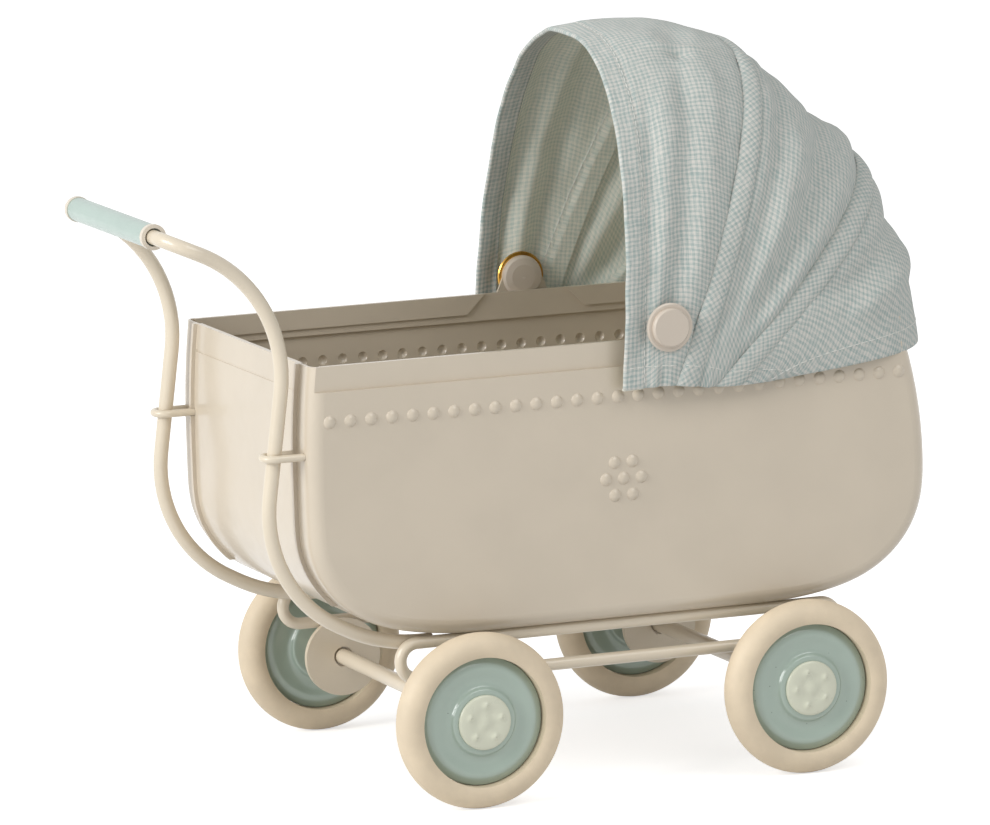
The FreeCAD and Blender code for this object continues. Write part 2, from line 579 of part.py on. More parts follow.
def footprint(z, half_width, back_x, power):
    """A level outline of the skirt, open end at the front closed by a straight line."""
    front_x = -FAR / 4
    points = []
    straight_x = PIVOT_X
    for step in range(OUTLINE_STEPS + 1):
        turn = math.pi / 2 * (step / OUTLINE_STEPS)
        x = straight_x + (back_x - straight_x) * math.sin(turn) ** (2 / power)
        y = half_width * math.cos(turn) ** (2 / power)
        points.append((x, y))
    ring = points + [(x, -y) for x, y in reversed(points[:-1])]
    curve = spline([vec(x, y, z) for x, y in ring], vec(1, 0, 0), vec(-1, 0, 0))
    lid = Part.makePolygon([vec(straight_x, -half_width, z), vec(front_x, -half_width, z),
                            vec(front_x, half_width, z), vec(straight_x, half_width, z)])
    return Part.Wire([curve] + lid.Edges)


def skirt_block(inset):
    """The solid volume of the fixed back of the canopy, hem to the height of its top edge."""
    reach = gore_reach(2) + CLOTH + LAYER_STEP
    wires = []
    for rise in SKIRT_RISES:
        share = max(rise, 0.0) / SKIRT_RISES[-1]
        dome = math.sqrt(reach ** 2 - max(rise, 0.0) ** 2) + PIVOT_X
        back_x = max(dome, SKIRT_BACK_X) if rise < SKIRT_STRAIGHT_RISE else dome
        power = SKIRT_LOW_POWER + (SKIRT_TOP_POWER - SKIRT_LOW_POWER) * share
        wires.append(footprint(PIVOT_Z + rise, SKIRT_HALF_WIDTH - inset, back_x - inset, power))
    return Part.makeLoft(wires, True, False)


def canopy_skirt():
    """The fixed back of the canopy, down over the tub's end, with an ear round each snap cap."""
    shell = skirt_block(0).cut(skirt_block(CLOTH))
    shell = shell.cut(box(-FAR, SKIRT_FRONT_X, -FAR, FAR, 0, FAR))
    shell = shell.cut(box(-FAR, FAR, -FAR, FAR, 0, SKIRT_HEM_Z))
    ahead = box(-FAR, PIVOT_X, -FAR, FAR, PIVOT_Z, FAR)
    above = box(PIVOT_X, FAR, -FAR, FAR, PIVOT_Z, FAR)
    above.rotate(vec(PIVOT_X, 0, PIVOT_Z), ALONG_Y, -SKIRT_TOP_ANGLE)
    ears = rod_y(SKIRT_HUB_RADIUS, PIVOT_X, PIVOT_Z, -FAR, FAR)
    shell = shell.cut(ahead.fuse(above).cut(ears))
    return shell.cut(rod_y(CAP_FLANGE_RADIUS + PRESS_GAP, PIVOT_X, PIVOT_Z, -FAR, FAR))


# ---------------------------------------------------------------- assembly

def seat(gore_shape, bow_shape):
    """The gore with its bow's channel cut away, so that the bow lies in its edge."""
    return gore_shape.cut(bow_shape)


nodes = {}


def pair(name, left_shape):
    nodes[name + "_left"] = left_shape
    nodes[name + "_right"] = mirrored(left_shape)


pair("side_panel", side_panel())
nodes["tub_wrap"] = tub_wrap()
nodes["handle_frame"] = handle_frame()
pair("frame_clip", frame_clip())
pair("side_loop", side_loop())
for end, axle_x in (("front", WHEELBASE / 2), ("rear", -WHEELBASE / 2)):
    pair("hanger_plate_" + end, hanger_plate(axle_x))
    nodes["axle_" + end] = axle(axle_x)
    pair("axle_spacer_" + end, spacer(axle_x))
    pair("tyre_" + end, tyre(axle_x))
    pair("outer_disc_" + end, disc(axle_x, 1))
    pair("inner_disc_" + end, disc(axle_x, -1))
    pair("hub_cap_" + end, hub_cap(axle_x))
nodes["grip_sleeve"] = grip_sleeve()
pair("grip_ring", grip_ring())
pair("snap_stud", snap_stud())
pair("snap_ring", snap_ring())
pair("snap_cap", snap_cap())

nodes["lead_bow"] = bow(0, LEAD_ANGLE)
nodes["middle_bow"] = bow(1, MIDDLE_ANGLE)
nodes["back_bow"] = bow(2, BACK_ANGLE)
nodes["lead_gore"] = seat(gore(0, MIDDLE_ANGLE - GORE_LAP, LEAD_ANGLE), nodes["lead_bow"])
nodes["middle_gore"] = seat(gore(1, BACK_ANGLE - GORE_LAP, MIDDLE_ANGLE), nodes["middle_bow"])
nodes["back_gore"] = seat(gore(2, BACK_GORE_LOW_ANGLE, BACK_ANGLE), nodes["back_bow"])
nodes["canopy_skirt"] = canopy_skirt()

bounds = Part.makeCompound(list(nodes.values())).optimalBoundingBox(False, False)
shift = vec(-(bounds.XMin + bounds.XMax) / 2, -(bounds.YMin + bounds.YMax) / 2, -bounds.ZMin)
for name, shape in nodes.items():
    shape.translate(shift)
    if len(shape.Solids) != 1:
        print("not one solid:", name, len(shape.Solids))
    if not shape.isValid():
        print("not valid:", name)
    shape.exportStep("parts/" + name + ".step")
print(len(nodes), "parts, size", bounds.XLength, bounds.YLength, bounds.ZLength)
print("moved by", shift.x, shift.y, shift.z)
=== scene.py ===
"""Looks of a doll pram: enamelled metal tub, rod handle, four wheels and a folding fabric hood.

The scene is in metres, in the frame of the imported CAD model. Shapes are written in millimetres and scaled
once when their meshes are made. The hood's sections are measured from the joint that its bows turn about.
"""
import json
import math

import bpy
import numpy as np
from mathutils import Matrix, Vector, noise


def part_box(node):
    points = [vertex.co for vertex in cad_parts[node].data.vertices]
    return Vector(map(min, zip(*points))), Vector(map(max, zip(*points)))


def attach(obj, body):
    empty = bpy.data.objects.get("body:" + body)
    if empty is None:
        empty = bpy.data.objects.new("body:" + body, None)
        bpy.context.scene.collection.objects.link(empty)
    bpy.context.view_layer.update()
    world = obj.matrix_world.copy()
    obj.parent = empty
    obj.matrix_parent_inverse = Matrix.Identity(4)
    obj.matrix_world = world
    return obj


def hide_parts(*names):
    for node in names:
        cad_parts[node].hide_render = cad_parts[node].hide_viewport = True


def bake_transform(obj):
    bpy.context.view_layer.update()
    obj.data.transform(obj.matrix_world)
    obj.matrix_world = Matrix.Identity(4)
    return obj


MM = 0.001
SIDES = {"left": 1, "right": -1}
ENDS = ("front", "rear")

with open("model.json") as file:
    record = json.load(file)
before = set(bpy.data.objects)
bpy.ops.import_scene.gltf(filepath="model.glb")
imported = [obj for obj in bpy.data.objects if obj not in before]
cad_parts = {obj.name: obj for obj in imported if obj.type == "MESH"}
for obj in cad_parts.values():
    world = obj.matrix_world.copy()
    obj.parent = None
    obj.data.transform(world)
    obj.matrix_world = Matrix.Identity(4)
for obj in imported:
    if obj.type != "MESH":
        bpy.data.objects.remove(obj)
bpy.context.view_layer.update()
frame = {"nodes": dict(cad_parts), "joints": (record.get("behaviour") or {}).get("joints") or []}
nodes = frame["nodes"]
joints = {joint["name"]: joint for joint in frame["joints"]}


# ---------------------------------------------------------------- node graph helpers

class Graph:
    """A material's node tree with short calls for the nodes used here."""

    def __init__(self, name):
        self.material = bpy.data.materials.new(name)
        self.material.use_nodes = True
        self.tree = self.material.node_tree
        self.shader = self.tree.nodes["Principled BSDF"]
        self.output = self.tree.nodes["Material Output"]

    def node(self, kind, **settings):
        made = self.tree.nodes.new(kind)
        for key, value in settings.items():
            setattr(made, key, value)
        return made

    def link(self, source, target):
        self.tree.links.new(source, target)

    def math(self, operation, first, second=0.0, clamp=False):
        made = self.node("ShaderNodeMath", operation=operation, use_clamp=clamp)
        for socket, value in zip(made.inputs, (first, second)):
            if isinstance(value, (int, float)):
                socket.default_value = value
            else:
                self.link(value, socket)
        return made.outputs[0]

    def millimetres(self):
        """The point on the object, in millimetres."""
        coordinates = self.node("ShaderNodeTexCoord").outputs["Object"]
        scaled = self.node("ShaderNodeVectorMath", operation="SCALE")
        scaled.inputs["Scale"].default_value = 1 / MM
        self.link(coordinates, scaled.inputs[0])
        return scaled.outputs[0]

    def noise(self, vector, scale, detail=2.0, roughness=0.5):
        """Noise from 0 to 1 with scale features a millimetre."""
        made = self.node("ShaderNodeTexNoise")
        made.inputs["Scale"].default_value = scale
        made.inputs["Detail"].default_value = detail
        made.inputs["Roughness"].default_value = roughness
        self.link(vector, made.inputs["Vector"])
        return made.outputs["Fac"]

    def ramp(self, value, low, high, out_low=0.0, out_high=1.0):
        """Takes low to high smoothly to out_low to out_high, and stays there outside them."""
        made = self.node("ShaderNodeMapRange", interpolation_type="SMOOTHSTEP")
        ends = {"From Min": low, "From Max": high, "To Min": out_low, "To Max": out_high}
        for name, number in ends.items():
            made.inputs[name].default_value = number
        self.link(value, made.inputs["Value"])
        return made.outputs["Result"]

    def mix(self, share, first, second):
        """The first colour where the share is 0 and the second where it is 1."""
        made = self.node("ShaderNodeMix", data_type="RGBA")
        for name, value in (("Factor", share), ("A", first), ("B", second)):
            socket = made.inputs[name]
            if isinstance(value, (int, float)):
                socket.default_value = value
            elif isinstance(value, tuple):
                socket.default_value = linear(value)
            else:
                self.link(value, socket)
        return made.outputs["Result"]

    def bump(self, height, distance, strength=1.0):
        """A normal from a height, where a height of 1 stands a distance in metres."""
        made = self.node("ShaderNodeBump")
        made.inputs["Strength"].default_value = strength
        made.inputs["Distance"].default_value = distance
        self.link(height, made.inputs["Height"])
        return made.outputs["Normal"]

    def finish(self, colour, normal=None, **constants):
        """Sets the shader: a colour link or constant, a normal, and constant sockets by name."""
        if isinstance(colour, tuple):
            self.shader.inputs["Base Color"].default_value = linear(colour)
        else:
            self.link(colour, self.shader.inputs["Base Color"])
        if normal is not None:
            self.link(normal, self.shader.inputs["Normal"])
        for name, value in constants.items():
            socket = self.shader.inputs[name.replace("_", " ")]
            if isinstance(value, (int, float)):
                socket.default_value = value
            else:
                self.link(value, socket)
        return self.material


def linear(colour):
    """A colour written as 0-255 display values, as linear RGBA."""
    channels = []
    for value in colour:
        share = value / 255
        channels.append(share / 12.92 if share <= 0.04045 else ((share + 0.055) / 1.055) ** 2.4)
    return (*channels, 1.0)


def seen_directly(tree):
    """1 for a ray from the camera, a reflection or glass, and 0 for one that lights the object."""
    rays = tree.nodes.new("ShaderNodeLightPath")
    seen = rays.outputs["Is Camera Ray"]
    for ray in ("Is Glossy Ray", "Is Transmission Ray"):
        either = tree.nodes.new("ShaderNodeMath")
        either.operation = "MAXIMUM"
        tree.links.new(seen, either.inputs[0])
        tree.links.new(rays.outputs[ray], either.inputs[1])
        seen = either.outputs[0]
    return seen


# ---------------------------------------------------------------- materials

# Colours are display values from 0 to 255.
TUB_COLOUR = (207, 195, 176)
FRAME_COLOUR = (219, 207, 186)
SNAP_COLOUR = (205, 193, 178)
BRASS_COLOUR = (206, 160, 78)
TYRE_COLOUR = (228, 211, 184)
DISC_COLOUR = (163, 180, 168)
CAP_COLOUR = (211, 213, 193)
GRIP_COLOUR = (172, 190, 182)
RING_COLOUR = (222, 212, 196)
SPECK_COLOUR = (90, 92, 84)
THREAD_COLOUR = (240, 240, 234)
FLOOR_COLOUR = (228, 228, 228)
CLOTH_PALE, CLOTH_MINT = (223, 220, 213), (160, 179, 176)
LIT_PALE, LIT_MINT = (250, 249, 236), (208, 221, 211)    # the inner face: painted light, a paler copy of the cloth standing in for light that comes through the thin cloth

ORANGE_PEEL_DEPTH = 0.012 * MM
TYRE_GRAIN_DEPTH = 0.02 * MM
BRUSH_DEPTH = 0.01 * MM
WEAVE_DEPTH = 0.05 * MM
TWIST_DEPTH = 0.03 * MM
CHECK = 0.95             # one repeat of the cloth's check
YARN_PITCH = 0.125
YARN_WANDER = 0.5        # how far a line of the check strays from straight


def shade(colour, share):
    """A colour made darker or lighter by a share."""
    return tuple(min(255, channel * share) for channel in colour)


def enamel(name, colour, roughness, specks=0.0, coat=0.4):
    """Sprayed enamel on metal: faint tone drift, orange peel, and a share of cells with a pinhead speck."""
    graph = Graph(name)
    place = graph.millimetres()
    drift = graph.noise(place, scale=0.06, detail=3.0)
    tone = graph.mix(graph.ramp(drift, 0.3, 0.7), shade(colour, 0.988), shade(colour, 1.008))
    if specks:
        tone = graph.mix(speck_share(graph, place, specks), tone, SPECK_COLOUR)
    fine = graph.noise(place, scale=1.1)
    broad = graph.noise(place, scale=0.16, detail=1.0)
    height = graph.math("ADD", fine, graph.math("MULTIPLY", broad, 3.0))
    normal = graph.bump(height, ORANGE_PEEL_DEPTH)
    wear = graph.noise(place, scale=0.35, detail=4.0)
    rough = graph.ramp(wear, 0.3, 0.7, roughness - 0.035, roughness + 0.045)
    return graph.finish(tone, normal, Roughness=rough, Coat_Weight=coat, Coat_Roughness=0.13, IOR=1.5)


def speck_share(graph, place, specks):
    """Dots of about 0.1 mm, one in each cell that is picked."""
    cells = graph.node("ShaderNodeTexVoronoi", feature="F1")
    cells.inputs["Scale"].default_value = 0.8
    cells.inputs["Randomness"].default_value = 1.0
    graph.link(place, cells.inputs["Vector"])
    dot = graph.ramp(cells.outputs["Distance"], 0.06, 0.13, 1.0, 0.0)
    picked = graph.ramp(cells.outputs["Color"], 1.0 - specks - 0.02, 1.0 - specks, 0.0, 0.65)
    return graph.math("MULTIPLY", dot, picked)


def rubber(name, colour):
    """Matte moulded tyre: fine grain and faint scuffs."""
    graph = Graph(name)
    place = graph.millimetres()
    drift = graph.noise(place, scale=0.12, detail=4.0, roughness=0.6)
    tone = graph.mix(graph.ramp(drift, 0.3, 0.72), shade(colour, 0.95), colour)
    grain = graph.noise(place, scale=3.2, detail=3.0, roughness=0.6)
    normal = graph.bump(grain, TYRE_GRAIN_DEPTH)
    rough = graph.ramp(grain, 0.3, 0.7, 0.5, 0.62)
    return graph.finish(tone, normal, Roughness=rough, IOR=1.46)


def brass(name, colour):
    """Brushed brass with a little tarnish."""
    graph = Graph(name)
    place = graph.millimetres()
    stretched = graph.node("ShaderNodeMapping")
    stretched.inputs["Scale"].default_value = (1.0, 14.0, 1.0)
    graph.link(place, stretched.inputs["Vector"])
    lines = graph.noise(stretched.outputs["Vector"], scale=0.8, detail=4.0)
    tarnish = graph.noise(place, scale=0.5, detail=3.0)
    tone = graph.mix(graph.ramp(tarnish, 0.42, 0.75), colour, shade(colour, 0.8))
    normal = graph.bump(lines, BRUSH_DEPTH)
    rough = graph.ramp(lines, 0.3, 0.7, 0.16, 0.3)
    return graph.finish(tone, normal, Roughness=rough, Metallic=1.0)


def cloth_place(graph):
    """The point on the flat cloth in millimetres, straying a little as hand-laid yarn does."""
    flat = graph.node("ShaderNodeUVMap", uv_map="cloth").outputs["UV"]
    scaled = graph.node("ShaderNodeVectorMath", operation="SCALE")
    scaled.inputs["Scale"].default_value = 1 / MM
    graph.link(flat, scaled.inputs[0])
    wander = graph.node("ShaderNodeTexNoise")
    wander.inputs["Scale"].default_value = 0.35
    wander.inputs["Detail"].default_value = 2.0
    graph.link(scaled.outputs[0], wander.inputs["Vector"])
    centred = graph.node("ShaderNodeVectorMath", operation="SUBTRACT")
    centred.inputs[1].default_value = (0.5, 0.5, 0.5)
    graph.link(wander.outputs["Color"], centred.inputs[0])
    shift = graph.node("ShaderNodeVectorMath", operation="MULTIPLY_ADD")
    shift.inputs[1].default_value = (YARN_WANDER, YARN_WANDER, 0.0)
    graph.link(centred.outputs[0], shift.inputs[0])
    graph.link(scaled.outputs[0], shift.inputs[2])
    return shift.outputs[0]


def weave(name, light, dark):
    """Fine check: warp and weft stripes of two yarn colours, from a UV map in metres of flat cloth."""
    graph = Graph(name)
    place = cloth_place(graph)
    axes = graph.node("ShaderNodeSeparateXYZ")
    graph.link(place, axes.inputs[0])
    yarns = []
    ridges = []
    for axis, across_yarn in (("X", (4.5, 0.3, 1.0)), ("Y", (0.3, 4.5, 1.0))):
        stripe = graph.math("SINE", graph.math("MULTIPLY", axes.outputs[axis], 2 * math.pi / CHECK))
        stripe = graph.ramp(stripe, -0.95, 0.95)
        slub = graph.node("ShaderNodeMapping")
        slub.inputs["Scale"].default_value = across_yarn
        graph.link(place, slub.inputs["Vector"])
        streak = graph.noise(slub.outputs["Vector"], scale=1.0, detail=3.0, roughness=0.65)
        streak = graph.ramp(streak, 0.32, 0.7, -0.62, 0.62)
        yarns.append(graph.math("ADD", stripe, streak, clamp=True))
        ridges.append(graph.math("SINE", graph.math("MULTIPLY", axes.outputs[axis], math.pi / YARN_PITCH)))
    over = graph.math("MULTIPLY", ridges[0], ridges[1])
    both = graph.math("MULTIPLY", graph.math("ADD", yarns[0], yarns[1]), 0.5)
    on_top = graph.math("MULTIPLY", graph.math("SUBTRACT", yarns[0], yarns[1]), over)
    share = graph.math("ADD", both, graph.math("MULTIPLY", on_top, 0.18), clamp=True)
    tone = graph.mix(share, light, dark)
    height = graph.math("ADD", graph.math("ABSOLUTE", over), graph.math("MULTIPLY", share, 0.4))
    normal = graph.bump(height, WEAVE_DEPTH, 0.8)
    return graph.finish(tone, normal, Roughness=0.92, Sheen_Weight=0.2, Sheen_Roughness=0.5, IOR=1.4)


def yarn(name, colour):
    """Sewing thread: twisted strands along its length."""
    graph = Graph(name)
    place = graph.millimetres()
    twist = graph.noise(place, scale=6.0)
    tone = graph.mix(twist, shade(colour, 0.9), colour)
    return graph.finish(tone, graph.bump(twist, TWIST_DEPTH), Roughness=0.85)


def pale_floor():
    """Pale floor that shows white to the camera where no shadow falls."""
    graph = Graph("pale_floor")
    glow = graph.node("ShaderNodeEmission")
    glow.inputs["Strength"].default_value = FLOOR_GLOW
    both = graph.node("ShaderNodeAddShader")
    graph.link(graph.shader.outputs[0], both.inputs[0])
    graph.link(glow.outputs[0], both.inputs[1])
    choose = graph.node("ShaderNodeMixShader")
    graph.link(seen_directly(graph.tree), choose.inputs[0])
    graph.link(graph.shader.outputs[0], choose.inputs[1])
    graph.link(both.outputs[0], choose.inputs[2])
    graph.link(choose.outputs[0], graph.output.inputs["Surface"])
    return graph.finish(FLOOR_COLOUR, Roughness=1.0, Specular_IOR_Level=0.0)


FINISHES = {
    "tub_enamel": enamel("tub_enamel", TUB_COLOUR, 0.33),
    "frame_enamel": enamel("frame_enamel", FRAME_COLOUR, 0.32),
    "snap_enamel": enamel("snap_enamel", SNAP_COLOUR, 0.4),
    "snap_brass": brass("snap_brass", BRASS_COLOUR),
    "tyre_cream": rubber("tyre_cream", TYRE_COLOUR),
    "wheel_enamel": enamel("wheel_enamel", DISC_COLOUR, 0.2, specks=0.16, coat=0.7),
    "cap_enamel": enamel("cap_enamel", CAP_COLOUR, 0.3, specks=0.2),
    "grip_paint": enamel("grip_paint", GRIP_COLOUR, 0.4),
    "ring_paint": enamel("ring_paint", RING_COLOUR, 0.42),
    "canopy_cloth": weave("canopy_cloth", CLOTH_PALE, CLOTH_MINT),
    # a paler copy of the cloth with the light through it painted in, for the hood's inner face
    "cloth_lit_through": weave("cloth_lit_through", LIT_PALE, LIT_MINT),
    "thread": yarn("thread", THREAD_COLOUR),
}


def dress_frame():
    """Gives each CAD node the finish of its material slot."""
    for node in nodes.values():
        for place in node.material_slots:
            finish = FINISHES.get(place.material.name.split(".")[0])
            if finish is not None:
                place.material = finish


# ---------------------------------------------------------------- meshes

def piece_from(name, points, faces, finish):
    """A smooth-shaded mesh piece from points in millimetres."""
    mesh = bpy.data.meshes.new(name)
    mesh.from_pydata([tuple(float(c) * MM for c in point) for point in points], [], faces)
    mesh.materials.append(FINISHES[finish])
    mesh.polygons.foreach_set("use_smooth", [True] * len(mesh.polygons))
    mesh.update()
    made = bpy.data.objects.new(name, mesh)
    bpy.context.scene.collection.objects.link(made)
    return made


# ---------------------------------------------------------------- wheels

AROUND = 144             # points round a wheel
DISC_THICKNESS = 0.6
DISC_BACK_LEAST = 0.05   # the back of a disc stays this far out from the wheel's middle plane
CAP_PIPS = 5
PIP_RING = 3.45
PIP_WIDTH = 0.66
PIP_HEIGHT = 0.42
DENT_SHIFT = (0.28, -0.1)
DENT_WIDTH = 0.2
DENT_DEPTH = 0.3
HOLLOW_RING = 2.1        # the hollows lie between the pips
HOLLOW_WIDTH = 0.8
HOLLOW_DEPTH = 0.1
REAR_CAP_TURN = 0.9      # radians that the rear caps are turned past the front ones

# Half sections, rim to middle: radius and distance out from the wheel's middle plane, in millimetres.
DISC_FACE = [(12.8, 0.2), (12.8, 0.62), (12.62, 0.86), (12.2, 1.12), (11.6, 1.5), (11.0, 1.74), (10.4, 1.78),
             (9.7, 1.6), (9.0, 1.42), (8.2, 1.32), (7.5, 1.34), (7.0, 1.5), (6.7, 1.85), (6.5, 2.14),
             (6.2, 2.28), (5.7, 2.3), (5.0, 2.3), (1.7, 2.3)]
CAP_FACE = [(5.45, 2.32), (5.5, 2.5), (5.47, 2.72), (5.3, 2.92), (4.9, 3.06), (4.2, 3.14), (3.4, 3.16),
            (2.4, 3.12), (1.7, 3.1), (1.1, 3.2), (0.7, 3.32), (0.3, 3.38), (0.02, 3.38)]


def smoothed(points, times):
    """The corners of a section cut off again and again, its ends kept."""
    points = [np.array(point, float) for point in points]
    for _ in range(times):
        cut = [points[0]]
        for a, b in zip(points, points[1:]):
            cut += [a * 0.75 + b * 0.25, a * 0.25 + b * 0.75]
        points = cut + [points[-1]]
    return points


def turned(name, section, centre, side, finish, relief=None):
    """A piece turned about a wheel's axis from a half section, with an optional relief outwards."""
    points, faces = [], []
    for r, out in section:
        for step in range(AROUND):
            turn = 2 * math.pi * step / AROUND
            lifted = out + (relief(r, turn) if relief else 0.0)
            points.append((centre[0] + r * math.cos(turn), centre[1] + side * lifted,
                           centre[2] + r * math.sin(turn)))
    for ring in range(len(section) - 1):
        for step in range(AROUND):
            a = ring * AROUND + step
            b = ring * AROUND + (step + 1) % AROUND
            face = (a, b, b + AROUND, a + AROUND)
            faces.append(face if side > 0 else face[::-1])
    return piece_from(name, points, faces, finish)


def disc_piece(name, centre, side):
    """A pressed disc with its ridges and its rolled rim."""
    front = smoothed(DISC_FACE, 2)
    back = [(r, max(out - DISC_THICKNESS, DISC_BACK_LEAST)) for r, out in reversed(front)]
    section = [tuple(point) for point in front] + back + [tuple(front[0])]
    return turned(name, section, centre, side, "wheel_enamel")


def spot(r, turn, ring, angle, width, shift=(0.0, 0.0)):
    """1 over a spot on a wheel's face, falling to 0 round it."""
    dx = r * math.cos(turn) - ring * math.cos(angle) - shift[0]
    dz = r * math.sin(turn) - ring * math.sin(angle) - shift[1]
    return math.exp(-(dx * dx + dz * dz) / width ** 2)


def cap_piece(name, centre, side, phase):
    """A domed cap with a ring of dented pips and a shallow hollow between each pair."""
    def pips(r, turn):
        height = 0.0
        for pip in range(CAP_PIPS):
            angle = phase + 2 * math.pi * pip / CAP_PIPS
            height += PIP_HEIGHT * spot(r, turn, PIP_RING, angle, PIP_WIDTH)
            height -= DENT_DEPTH * spot(r, turn, PIP_RING, angle, DENT_WIDTH, DENT_SHIFT)
            height -= HOLLOW_DEPTH * spot(r, turn, HOLLOW_RING, angle + math.pi / CAP_PIPS, HOLLOW_WIDTH)
        return height
    return turned(name, smoothed(CAP_FACE, 3), centre, side, "cap_enamel", pips)


def build_wheels():
    """The discs and caps of the four wheels, in place of the plainer CAD ones."""
    for end_index, end in enumerate(ENDS):
        for side_name, side in SIDES.items():
            key = f"{end}_{side_name}"
            low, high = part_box("tyre_" + key)
            centre = [(a + b) / 2 / MM for a, b in zip(low, high)]
            for face, out in (("outer", side), ("inner", -side)):
                piece = disc_piece(f"{face}_disc_{key}_face", centre, out)
                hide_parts(f"{face}_disc_{key}")
                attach(piece, "wheelset_" + end)
            phase = math.pi + REAR_CAP_TURN * end_index
            piece = cap_piece(f"hub_cap_{key}_face", centre, side, phase)
            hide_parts("hub_cap_" + key)
            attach(piece, "wheelset_" + end)


# ---------------------------------------------------------------- hood: shape

PIVOT = Vector(joints["back_bow_fold"]["pos_m"]) / MM
HOOD_COLUMNS = 261       # points across the hood, from the right foot over the crown to the left foot
CURVE_POINTS = 1441      # points that a section is measured with before they are spaced evenly
FRONT_ROWS, MIDDLE_ROWS, REAR_ROWS = 56, 52, 56
CASING_ROWS = 15
LINING_ROWS = 8
FOLD_STEPS = 5           # rows round the turn of a hem
HOOD_LEAN = -0.6         # the crown leans this far to the right
CLOTH_THICKNESS = 0.3

HEM_WIDTH = 4.3
FRONT_FOLD_RADIUS = 0.45
LOW_FOLD_RADIUS = 0.28
HEM_SET_BACK = 0.6       # the returned cloth of the side hems draws back this far from a folded end
HEM_SET_BACK_REACH = 2.0
TUCK_WIDTH = 1.1
TUCK_DEPTH = 0.5
LINING_DEPTH = 0.95      # how far a casing's lining lies inside the hood's section
SEAM_DEPTH, SEAM_WIDTH = 0.4, 1.1
STITCHED_WIDTH = 0.45    # of the groove that a row of stitches pulls into the cloth
FRONT_STITCHED_DEPTH = 0.3
REAR_STITCHED_DEPTH = 0.25
CASING_RISE = 0.85
CASING_SINK = 0.4        # the casing's edges lie this far inside the hood's section
CASING_CLOTH_TURN = 45
REAR_CLOTH_TURN = 38

RIM_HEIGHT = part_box("tub_wrap")[1][2] / MM
CLEAR_FROM = RIM_HEIGHT + 8.0    # below this the rear panel keeps off the tub
CLEAR_BLEND = 4.0                # and does so fully this much lower
CLEAR_LEAST = 0.1
CLEAR_LEFT_MORE = 1.3            # the left half hangs closer to the tub and needs more
LEFT_FROM, LEFT_BLEND = 0.55, 0.15
REAR_STILL_FROM = 0.68           # the rear panel below this share of its depth stays with the frame
FEET_FOLLOW = 0.7                # but its two feet are given this share of the fold
FEET_REACH = 14.0

STITCH_PITCH = 1.75
STITCH_LENGTH = 1.45
STITCH_RADIUS = 0.085
STITCH_LIFT = 0.09
STITCH_RINGS, STITCH_SIDES = 5, 6
HEM_STITCH_INSET = 0.3           # from the inner edge of a hem
SEAM_STITCH_INSET = 1.0
HEM_LINES = ("right", "left")

# Each section lies in a plane from its feet to its crown. Foot X and Z from the pivot, crown angle above +X
# and distance from the pivot, half-width at the feet, and squareness: 2 is an ellipse.
SECTIONS = {
    "front_edge": (-9.3, -11.7, 95.2, 55.1, 38.4, 2.4),
    "front_stitch": (-4.9, -11.6, 91.0, 55.6, 38.4, 2.4),
    "front_middle": (-1.8, -11.5, 76.0, 57.2, 38.4, 2.6),
    "middle_casing_start": (1.5, -11.6, 63.0, 58.5, 38.6, 2.5),
    "middle_casing_end": (6.4, -12.2, 59.0, 58.2, 38.5, 2.7),
    "middle_panel": (8.4, -12.6, 44.0, 57.0, 38.4, 2.85),
    "rear_casing_start": (10.2, -12.7, 28.5, 60.6, 38.2, 2.55),
    "rear_casing_end": (16.7, -12.9, 24.2, 61.2, 38.0, 2.8),
    "rear_panel": (21.2, -12.8, 10.0, 61.0, 37.6, 3.4),
    "rear_low": (23.7, -12.7, 0.0, 61.0, 37.2, 4.0),
    "rear_hem": (25.7, -12.6, -7.8, 62.2, 36.8, 4.4),
}


def section_points(section, columns):
    """Points along one section, evenly spaced."""
    foot_x, foot_z, angle, reach, half_width, power = section
    turn = np.linspace(0, math.pi, CURVE_POINTS)
    rise = np.sin(turn).clip(0) ** (2 / power)
    across = -np.sign(np.cos(turn)) * np.abs(np.cos(turn)) ** (2 / power)
    crown_x = reach * math.cos(math.radians(angle))
    crown_z = reach * math.sin(math.radians(angle))
    x = PIVOT.x + foot_x + (crown_x - foot_x) * rise
    y = half_width * across + HOOD_LEAN * rise
    z = PIVOT.z + foot_z + (crown_z - foot_z) * rise
    line = np.stack([x, y, z], axis=1)
    steps = np.linalg.norm(np.diff(line, axis=0), axis=1)
    run = np.concatenate([[0], np.cumsum(steps)])
    even = np.linspace(0, run[-1], columns)
    return np.stack([np.interp(even, run, line[:, axis]) for axis in range(3)], axis=1)


def between(sections, share):
    """The section at a share of the way through a list of sections, on a smooth curve."""
    values = np.array(sections, float)
    place = share * (len(values) - 1)
    low = min(int(place), len(values) - 2)
    t = place - low
    before = values[max(low - 1, 0)]
    after = values[min(low + 2, len(values) - 1)]
    a, b = values[low], values[low + 1]
    slope_a = (b - before) / (2 if low > 0 else 1)
    slope_b = (after - a) / (2 if low + 2 < len(values) else 1)
    return ((2 * t ** 3 - 3 * t ** 2 + 1) * a + (t ** 3 - 2 * t ** 2 + t) * slope_a
            + (-2 * t ** 3 + 3 * t ** 2) * b + (t ** 3 - t ** 2) * slope_b)


def surface(names, shares):
    """Grid of points over the named sections, one row for each share."""
    sections = [SECTIONS[name] for name in names]
    return np.array([section_points(between(sections, share), HOOD_COLUMNS) for share in shares])


def grid_normals(grid):
    """Outward normals of a grid of points."""
    down = np.gradient(grid, axis=0)
    across = np.gradient(grid, axis=1)
    normal = np.cross(down, across)
    normal /= np.linalg.norm(normal, axis=2, keepdims=True) + 1e-12
    return normal


